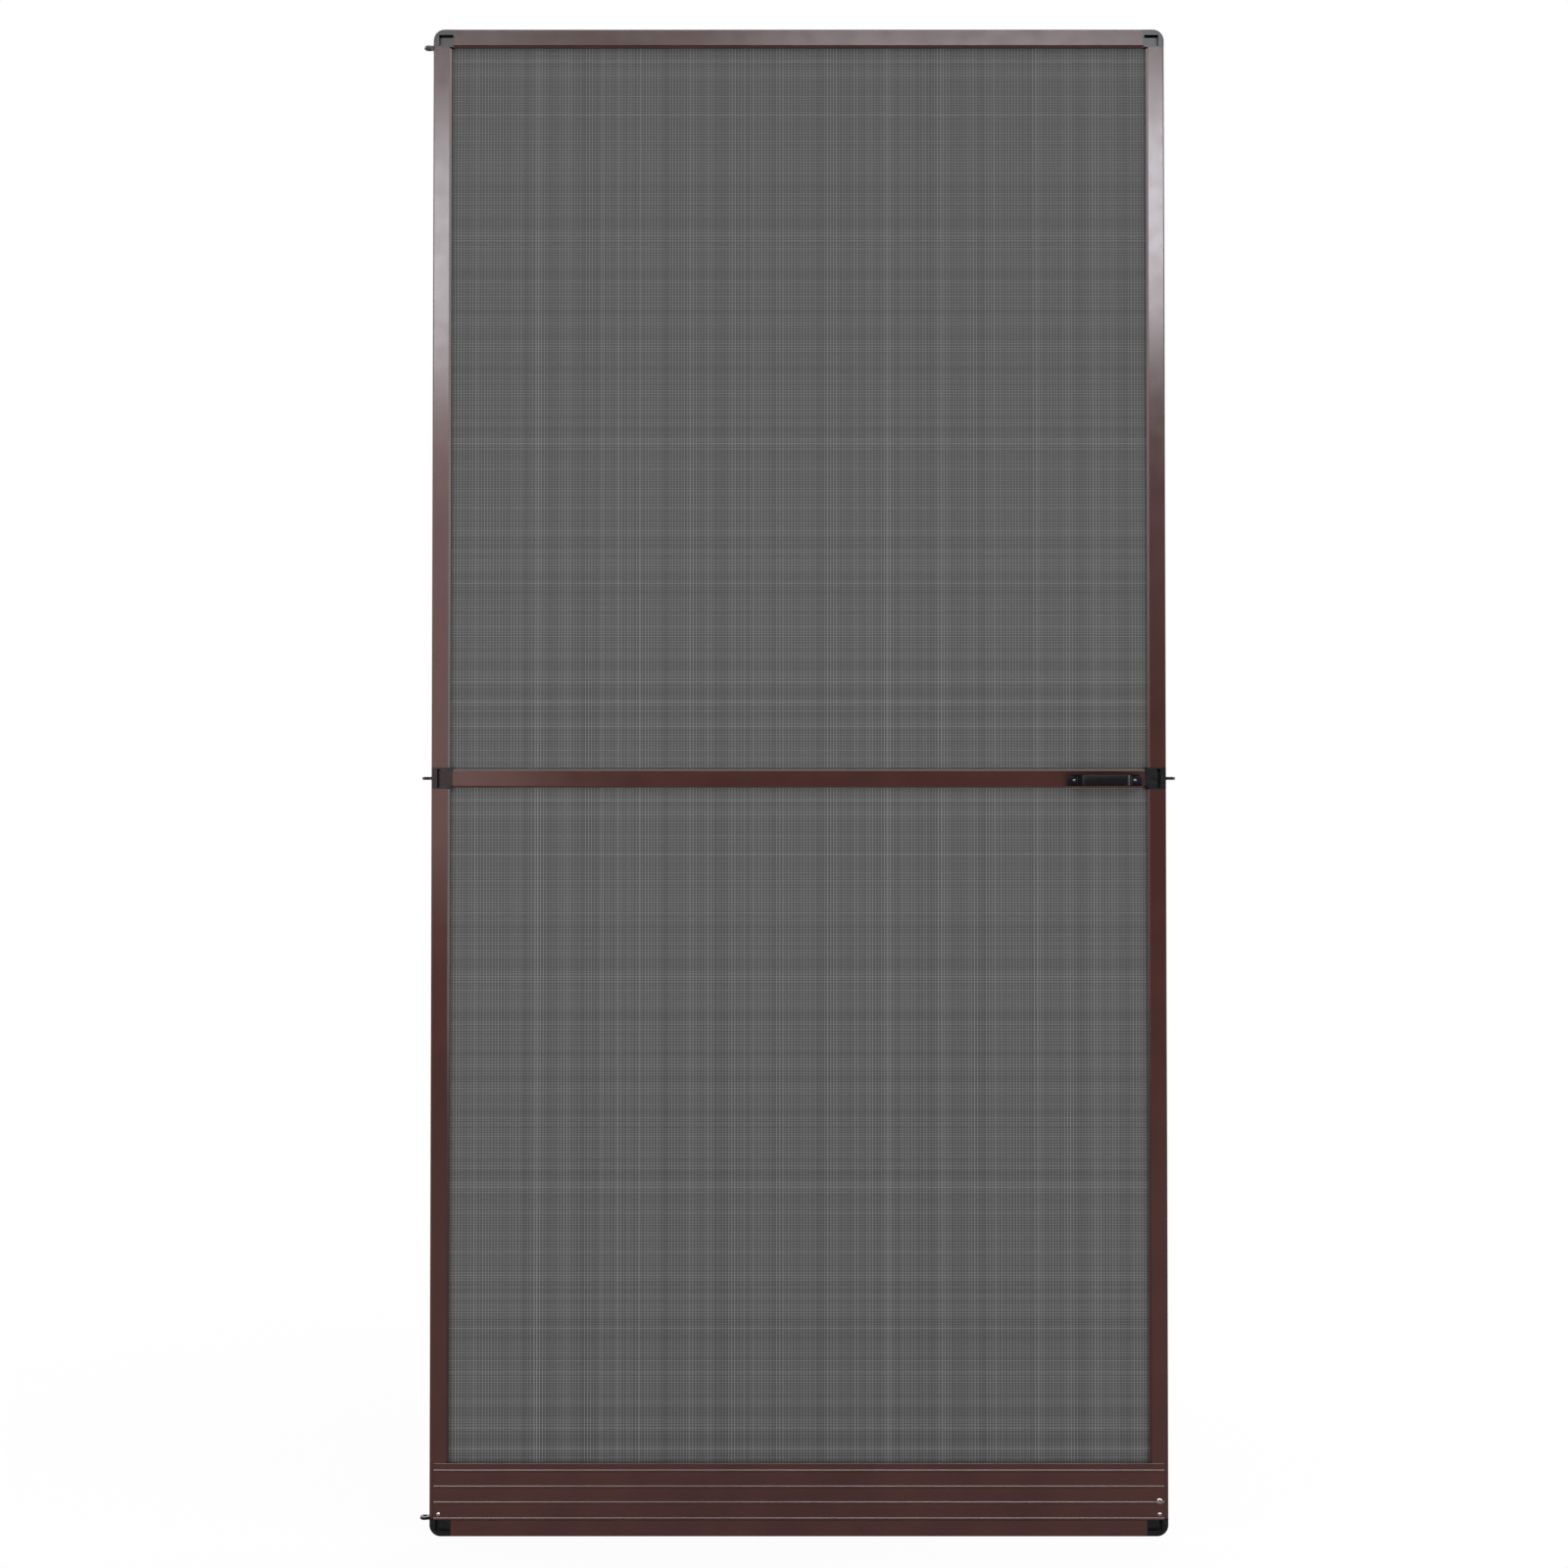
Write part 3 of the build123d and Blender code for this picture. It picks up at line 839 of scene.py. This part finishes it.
def ribbed_plate(sizes, screw, tree, material):
    """The kick plate: a flat plate whose front edges are round, with a row of half-round ribs that
    make way for the screw's head."""
    low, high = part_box("kick_plate")
    face = high.y - sizes.thickness
    section = rounded([
        (high.y, low.z, 0), (face, low.z, sizes.edge),
        (face, high.z, sizes.edge), (high.y, high.z, 0),
    ])
    plate = prism("plate", section, low.x, high.x, lambda y, z, x: (x, y, z))

    rise, half = face - low.y, sizes.rib_width / 2
    radius = (half**2 + rise**2) / (2 * rise)
    reach = math.asin(half / radius)
    root, steps = face + sizes.thickness / 2, 14
    bead = [(root, -half), (root, half)]
    for step in range(steps + 1):
        angle = reach * (1 - 2 * step / steps)
        bead.append((low.y + radius - radius * math.cos(angle), radius * math.sin(angle)))
    rib = prism("rib", bead, low.x, high.x, lambda y, z, x: (x, y, z))
    rib.shade_smooth()
    rib.set_sharp_from_angle(angle=SMOOTH_BELOW)
    ribs = grown("ribs", rib, tree, {
        "Count": sizes.rib_count, "Start": Vector((0, 0, low.z + sizes.rib_first)),
        "Step": Vector((0, 0, sizes.rib_pitch)), "Turn": 0.0, **PLAIN_ROW, "Material": material,
    })

    head_low, head_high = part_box(screw)
    clear = (head_high.z - head_low.z) / 2 + sizes.clearance
    middle = (head_low + head_high) / 2
    front = low.y - MM
    spot = lathed("spot", [(0, front), (clear, front), (clear, face), (0, face)], sides=40)
    ribs.data = finished(ribs.data, [moved(spot, (middle.x, 0, middle.z))])
    flat = bpy.data.objects.new("flat", finished(plate))
    flat.data.materials.append(material)
    bpy.context.scene.collection.objects.link(flat)
    return joined("ribbed_kick_plate", [flat, ribs])


def bow_pull(sizes, screws, shank):
    """The bow pull: two feet and a grip on slanting arms, with seats for the screws' heads."""
    low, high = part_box("pull_handle")
    half, centre = (high.x - low.x) / 2, (high.x + low.x) / 2
    inner, reach = half - sizes.foot, high.y - low.y
    foot, under = sizes.foot_thickness, reach - sizes.grip
    outer_bend = sizes.bend + sizes.grip / 2
    arm = inner + sizes.slope * (1 - foot / reach)
    right = [
        (inner - sizes.slope, under, sizes.bend), (inner, 0, 0), (half, 0, 0),
        (half, foot, sizes.toe), (arm, foot, sizes.heel), (inner, reach, outer_bend),
    ]
    corners = right + [(-x, out, radius) for x, out, radius in reversed(right)]
    outline = rounded(corners)
    grip = prism(
        "pull", outline, low.z, high.z, lambda x, out, z: (centre + x, high.y - out, z),
    )
    cutters, face = [], high.y - foot
    for screw in screws:
        head_low, head_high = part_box(screw)
        middle = (head_low + head_high) / 2
        seat = (head_high.z - head_low.z) / 2 + sizes.seat_clearance
        hole = shank + sizes.hole_clearance
        for name, radius, front, back in (
            ("seat", seat, face - MM, face + sizes.seat), ("hole", hole, face, high.y + MM),
        ):
            cutter = lathed(name, [(0, front), (radius, front), (radius, back), (0, back)])
            cutters.append(moved(cutter, (middle.x, 0, middle.z)))
    return finished(grip, cutters, bevel=sizes.edge)


# Studio

def rays(tree):
    """Two values: 1 for rays of the camera and through glass, and 1 for rays off a gloss."""
    path = add(tree, "ShaderNodeLightPath").outputs
    inputs = {0: path["Is Camera Ray"], 1: path["Is Transmission Ray"]}
    seen = add(tree, "ShaderNodeMath", inputs, operation="MAXIMUM").outputs[0]
    return seen, path["Is Glossy Ray"]


def set_floor(middle, ground):
    """A matt pale floor just under the leaf. It fades to the white of the background, and glosses
    show it even and less bright."""
    gap, half = 8 * MM, 6.0
    near, far, dimmed = 0.6, 2.2, 0.93
    mesh = bpy.data.meshes.new("floor")
    corners = [(-half, -half), (half, -half), (half, half), (-half, half)]
    level = cad_box[0].z - gap
    mesh.from_pydata([(middle.x + x, y, level) for x, y in corners], [], [(0, 1, 2, 3)])
    floor = bpy.data.objects.new("floor", mesh)
    bpy.context.scene.collection.objects.link(floor)
    material, tree, shader = new_material("matt_white_floor")
    tint(tree, shader, clouds(tree, size=0.4), linear(0xF0F0F0), linear(0xF4F4F4))
    shader.inputs["Roughness"].default_value = 0.9
    seen, gloss = rays(tree)
    inputs = {"Factor": gloss, FLOAT_A: 1.0, FLOAT_B: ground}
    strength = add(tree, "ShaderNodeMix", inputs, data_type="FLOAT").outputs[0]
    inputs = {"Color": (1, 1, 1, 1), "Strength": strength}
    white = add(tree, "ShaderNodeEmission", inputs)
    place = add(tree, "ShaderNodeTexCoord").outputs["Object"]
    away = add(tree, "ShaderNodeVectorMath", {0: place}, operation="LENGTH").outputs["Value"]
    inputs = {"Value": away, "From Min": near, "From Max": far, "To Min": dimmed, "To Max": 1.0}
    fade = add(tree, "ShaderNodeMapRange", inputs).outputs["Result"]
    fade = add(tree, "ShaderNodeMath", {0: fade, 1: seen}, operation="MULTIPLY").outputs[0]
    fade = add(tree, "ShaderNodeMath", {0: fade, 1: gloss}, operation="MAXIMUM").outputs[0]
    inputs = {0: fade, 1: shader.outputs["BSDF"], 2: white.outputs["Emission"]}
    look = add(tree, "ShaderNodeMixShader", inputs)
    tree.links.new(look.outputs["Shader"], tree.nodes["Material Output"].inputs["Surface"])
    mesh.materials.append(material)


def set_world(scene, studio):
    """A white background behind the leaf, soft even light from all round, and in glosses a dim
    room behind the camera with a bright ceiling and bright sides. The room is a sum of parts,
    each the product of ramps along one axis of a ray's way, from start to end and from low to
    high."""
    world = bpy.data.worlds.new("studio")
    world.use_nodes = True
    scene.world = world
    tree = world.node_tree
    tree.nodes.clear()
    seen, gloss = rays(tree)
    way = add(tree, "ShaderNodeTexCoord").outputs["Generated"]
    way = add(tree, "ShaderNodeSeparateXYZ", {"Vector": way}).outputs
    depth = (("Y", -0.3, 0.5, 0.08, 1.0),)
    ceiling = (("Z", 0.32, 0.46, 0.0, studio.ceiling), ("Z", 0.75, 0.93, 1.0, studio.zenith))
    right = (("X", 0.75, 0.9, 0.0, 1.0), ("Z", 0.0, 0.3, studio.right_side, studio.upper_sides))
    left = (("X", -0.75, -0.9, 0.0, 1.0), ("Z", 0.0, 0.3, studio.left_side, studio.upper_sides))
    room = 0.0
    for ramps in (depth, ceiling, right, left):
        part = 1.0
        for axis, start, end, low, high in ramps:
            inputs = {
                "Value": way[axis], "From Min": start, "From Max": end,
                "To Min": low, "To Max": high,
            }
            ramp = add(tree, "ShaderNodeMapRange", inputs).outputs["Result"]
            part = add(tree, "ShaderNodeMath", {0: part, 1: ramp}, operation="MULTIPLY").outputs[0]
        room = add(tree, "ShaderNodeMath", {0: room, 1: part}, operation="ADD").outputs[0]
    inputs = {"Factor": gloss, FLOAT_A: studio.even, FLOAT_B: room}
    light = add(tree, "ShaderNodeMix", inputs, data_type="FLOAT").outputs[0]
    inputs = {"Factor": seen, FLOAT_A: light, FLOAT_B: 1.0}
    strength = add(tree, "ShaderNodeMix", inputs, data_type="FLOAT").outputs[0]
    inputs = {"Color": (1, 1, 1, 1), "Strength": strength}
    light = add(tree, "ShaderNodeBackground", inputs)
    add(tree, "ShaderNodeOutputWorld", {"Surface": light.outputs["Background"]})


def set_light(name, place, facing, width, height, radiance, colour):
    """A rectangular light of this radiance, turned to face a direction."""
    data = bpy.data.lights.new(name, "AREA")
    data.color = colour
    data.shape = "RECTANGLE"
    data.size, data.size_y = width, height
    data.energy = radiance * math.pi * width * height
    lamp = bpy.data.objects.new(name, data)
    bpy.context.scene.collection.objects.link(lamp)
    lamp.visible_camera = False
    lamp.location = place
    lamp.rotation_euler = facing.to_track_quat("-Z", "Y").to_euler()
    return lamp


def set_camera(scene, studio):
    """The camera at the photograph's place, straight in front and looking up a little."""
    data = bpy.data.cameras.new("camera")
    data.sensor_width = 36
    data.lens = studio.lens
    camera = bpy.data.objects.new("camera", data)
    scene.collection.objects.link(camera)
    camera.location = (studio.across, -studio.distance, studio.height)
    camera.rotation_euler = (math.pi / 2 + studio.pitch, 0, 0)
    scene.camera = camera


# Operators

class LookOperator:
    """What the operators share: each makes or dresses its pieces once."""

    bl_options = {"REGISTER"}


class DOOR_OT_coat(LookOperator, bpy.types.Operator):
    """Coat the extrusions and make the ribbed kick plate"""

    bl_idname = "screen_door.coat"
    bl_label = "Coat the Extrusions"

    def execute(self, context):
        coat = powder_coat(context.scene.door_finish)
        dress(EXTRUSIONS, coat)
        plate = ribbed_plate(context.scene.door_plate, "kick_screw_latch", row_tree(), coat)
        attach(plate, "root")
        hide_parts("kick_plate")
        return {"FINISHED"}


class DOOR_OT_mouldings(LookOperator, bpy.types.Operator):
    """Give the connectors their plastic"""

    bl_idname = "screen_door.mouldings"
    bl_label = "Finish the Connectors"

    def execute(self, context):
        finish = context.scene.door_finish
        dress(CONNECTORS, moulded_plastic(
            "moulded_nylon_black", finish.plastic, finish.plastic_roughness, gloss=0.38,
            grain=1.2 * MM,
        ))
        return {"FINISHED"}


class DOOR_OT_pull(LookOperator, bpy.types.Operator):
    """Make the bow pull"""

    bl_idname = "screen_door.pull"
    bl_label = "Make the Pull"

    def execute(self, context):
        finish, shank = context.scene.door_finish, context.scene.door_fasteners.pull_shank
        mesh = bow_pull(context.scene.door_pull, PULL_SCREWS, shank)
        mesh.materials.append(moulded_plastic(
            "moulded_abs_black", finish.pull, roughness=0.34, gloss=0.18, grain=2 * MM,
        ))
        piece = bpy.data.objects.new("bow_pull", mesh)
        context.scene.collection.objects.link(piece)
        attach(piece, "root")
        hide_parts("pull_handle")
        return {"FINISHED"}


class DOOR_OT_fasteners(LookOperator, bpy.types.Operator):
    """Set the rivets and the screws"""

    bl_idname = "screen_door.fasteners"
    bl_label = "Set the Fasteners"

    def execute(self, context):
        finish, sizes = context.scene.door_finish, context.scene.door_fasteners
        tree = row_tree()
        zinc = bright_metal("zinc_plated_steel", finish.zinc, roughness=0.32)
        nickel = bright_metal("black_nickel_steel", finish.nickel, roughness=0.38)
        aluminium = bright_metal("bright_aluminium", finish.aluminium, roughness=0.28)
        for name, nodes, height, shank, material, slot in (
            ("rivets_kick_plate", KICK_RIVETS, sizes.rivet_height, sizes.rivet_shank,
             aluminium, "rivet"),
            ("screw_kick_plate", ["kick_screw_latch"], sizes.kick_height, sizes.rivet_shank,
             zinc, "screw"),
            ("screws_pull", PULL_SCREWS, sizes.pull_height, sizes.pull_shank, nickel, "screw"),
        ):
            low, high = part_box(nodes[0])
            radius, length = (high.z - low.z) / 2, high.y - low.y - height
            if slot == "rivet":
                mesh = blind_rivet(radius, height, shank, length)
            else:
                mesh = crossed_screw(radius, height, shank, length, sizes.thread)
            fastened(name, mesh, nodes, height, sizes.turn, material, tree)
        return {"FINISHED"}


class DOOR_OT_mesh(LookOperator, bpy.types.Operator):
    """Weave the two panels of mesh"""

    bl_idname = "screen_door.mesh"
    bl_label = "Weave the Mesh"

    def execute(self, context):
        sizes = context.scene.door_mesh
        tree, material = row_tree(), coated_yarn(sizes)
        for node, rail, stile in (
            ("mesh_lower", "bottom_rail", "stile_hinge_lower"),
            ("mesh_upper", "top_rail", "stile_hinge_upper"),
        ):
            panel, (wide, tall) = woven_panel(node, sizes, tree, material)
            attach(panel, "root")
            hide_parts(node)
        return {"FINISHED"}


class DOOR_OT_cords(LookOperator, bpy.types.Operator):
    """Press the spline cords into their grooves"""

    bl_idname = "screen_door.cords"
    bl_label = "Lay the Spline Cords"

    def execute(self, context):
        sizes = context.scene.door_mesh
        tree, material = cord_tree(), soft_rubber(sizes.cord)
        for node in ("spline_lower", "spline_upper"):
            low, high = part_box(node)
            radius = (high.y - low.y) / 2
            size, centre = high - low, (high + low) / 2
            cord = grown("cord_" + node, bpy.data.meshes.new("cord"), tree, {
                "Width": size.x - 2 * radius, "Height": size.z - 2 * radius,
                "Centre": centre, "Corner": radius, "Radius": radius,
                "Groove": sizes.cord_groove, "Material": material,
            })
            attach(cord, "root")
            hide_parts(node)
        return {"FINISHED"}


class DOOR_OT_studio(LookOperator, bpy.types.Operator):
    """Set up the floor, the world, the lights and the camera"""

    bl_idname = "screen_door.studio"
    bl_label = "Set Up the Studio"

    def execute(self, context):
        studio = context.scene.door_studio
        middle = (cad_box[0] + cad_box[1]) / 2
        set_floor(middle, studio.ground)
        set_world(context.scene, studio)
        level = -studio.distance
        ahead = Vector((0, 1, 0))
        white, cool, warm = (1, 1, 1), linear(0xF8F9FF), linear(0xFFDFD9)
        for name, place, width, height, radiance, colour in (
            ("key_softbox", (1.28, level, 3.055), 1.62, 0.74, studio.key, cool),
            ("second_softbox", (-0.75, level, 2.925), 1.1, 0.835, studio.second, cool),
            ("tall_diffuser", (-0.85, level, 1.68), 1.2, 1.6, studio.screen, warm),
            ("faint_screen", (1.9, level, 2.15), 0.8, 1.0, studio.faint, white),
        ):
            softbox = set_light(name, place, ahead, width, height, radiance, colour)
            softbox.visible_diffuse = False
        aim, width, height = Vector((middle.x, 0, 0.5)), 1.0, 0.7
        for name, across in (("low_left", -1.6), ("low_right", 2.75)):
            place = Vector((across, -1.6, 0.35))
            fill = set_light(name, place, aim - place, width, height, studio.fill, white)
            fill.visible_glossy = False
        set_camera(context.scene, studio)
        context.scene.view_settings.view_transform = "Standard"
        return {"FINISHED"}


class DOOR_PT_panel(bpy.types.Panel):
    """The steps in order and the sizes that they use"""

    bl_label = "Screen Door"
    bl_idname = "DOOR_PT_panel"
    bl_space_type = "VIEW_3D"
    bl_region_type = "UI"
    bl_category = "Screen Door"

    def draw(self, context):
        for step in STEPS:
            self.layout.operator(step.bl_idname)
        for name in SETTINGS:
            group = getattr(context.scene, name)
            box = self.layout.box()
            for key in group.__annotations__:
                box.prop(group, key)


STEPS = (
    DOOR_OT_coat, DOOR_OT_mouldings, DOOR_OT_pull, DOOR_OT_fasteners, DOOR_OT_mesh, DOOR_OT_cords,
    DOOR_OT_studio,
)
SETTINGS = {
    "door_finish": FrameFinish, "door_plate": PlateSizes, "door_pull": PullSizes,
    "door_fasteners": FastenerSizes, "door_mesh": MeshSizes, "door_studio": Studio,
}


def register():
    for item in (*SETTINGS.values(), *STEPS, DOOR_PT_panel):
        bpy.utils.register_class(item)
    for name, group in SETTINGS.items():
        setattr(bpy.types.Scene, name, PointerProperty(type=group))


def unregister():
    for name in SETTINGS:
        delattr(bpy.types.Scene, name)
    for item in (DOOR_PT_panel, *reversed(STEPS), *SETTINGS.values()):
        bpy.utils.unregister_class(item)


def main():
    """Runs every step in order."""
    register()
    for step in STEPS:
        group, name = step.bl_idname.split(".")
        getattr(getattr(bpy.ops, group), name)()


if __name__ == "__main__":
    main()
